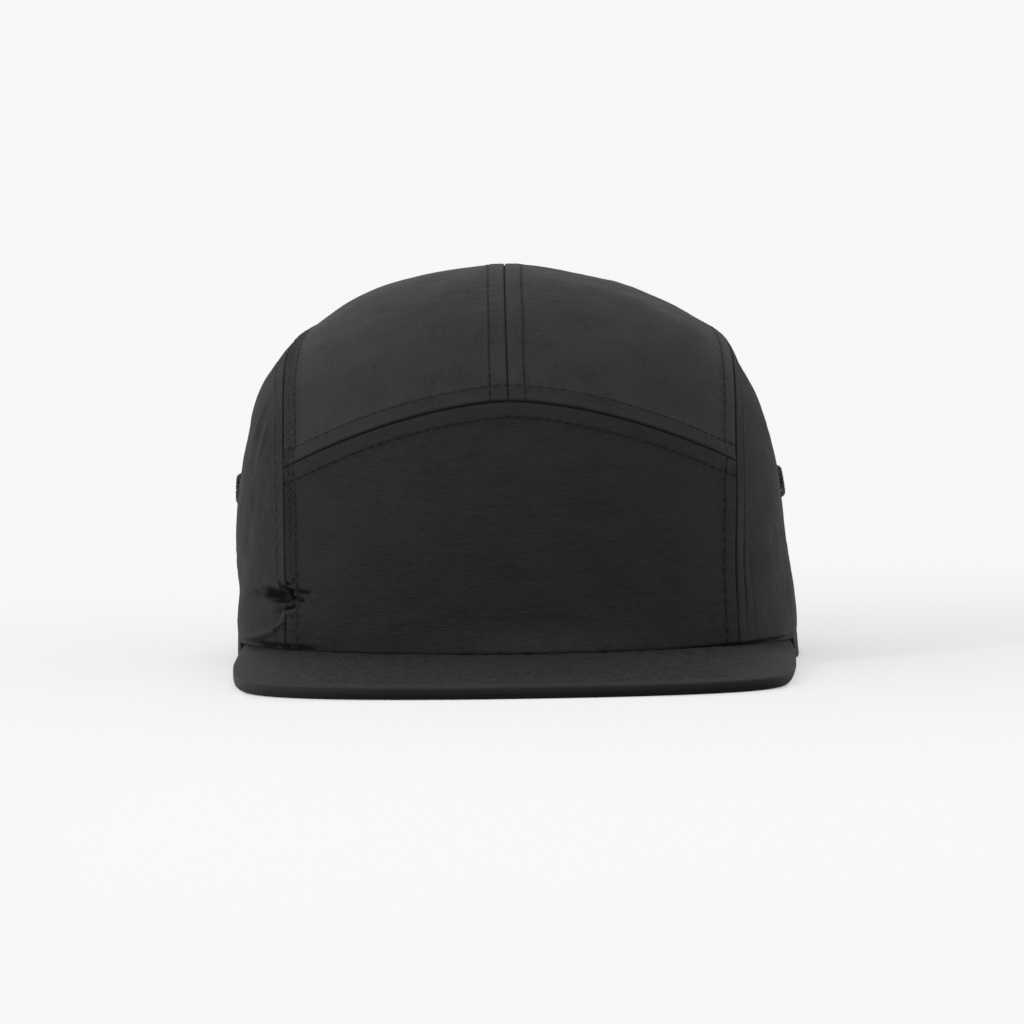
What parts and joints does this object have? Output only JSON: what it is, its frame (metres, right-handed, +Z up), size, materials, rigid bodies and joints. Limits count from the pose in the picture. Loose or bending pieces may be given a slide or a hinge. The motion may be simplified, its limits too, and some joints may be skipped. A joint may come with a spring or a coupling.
{
  "type": "five panel cap",
  "caption": "Soft nylon cap with an arched front panel, domed top panels, wrapped side panels, short flat peak, sweatband and an adjusting strap at the back.",
  "frame": {"origin": "centre of the cap's bounding box in X and Y, on the surface that it rests on", "axes": "+Z up through the crown, -Y towards the peak's front, +X to the right seen from the front"},
  "size_m": [0.1722, 0.2634, 0.1205],
  "materials": {
    "panel_cloth": "thin woven nylon with a soft sheen and a fine crinkle",
    "peak_cloth": "the same nylon drawn tight over the peak's board and stitched in rows",
    "band_cloth": "matt twill tape",
    "eyelet_thread": "close satin stitches with a slight shine",
    "strap_webbing": "matt woven webbing",
    "clip_plastic": "fine grained moulding"
  },
  "bodies": {
    "root": {"front_panel": "panel_cloth", "top_panel_left": "panel_cloth", "top_panel_right": "panel_cloth", "side_panel_left": "panel_cloth", "side_panel_right": "panel_cloth", "peak": "peak_cloth", "sweatband": "band_cloth", "eyelet_left": "eyelet_thread", "eyelet_right": "eyelet_thread", "back_strap": "strap_webbing", "strap_clip": "clip_plastic"}
  },
  "joints": []
}
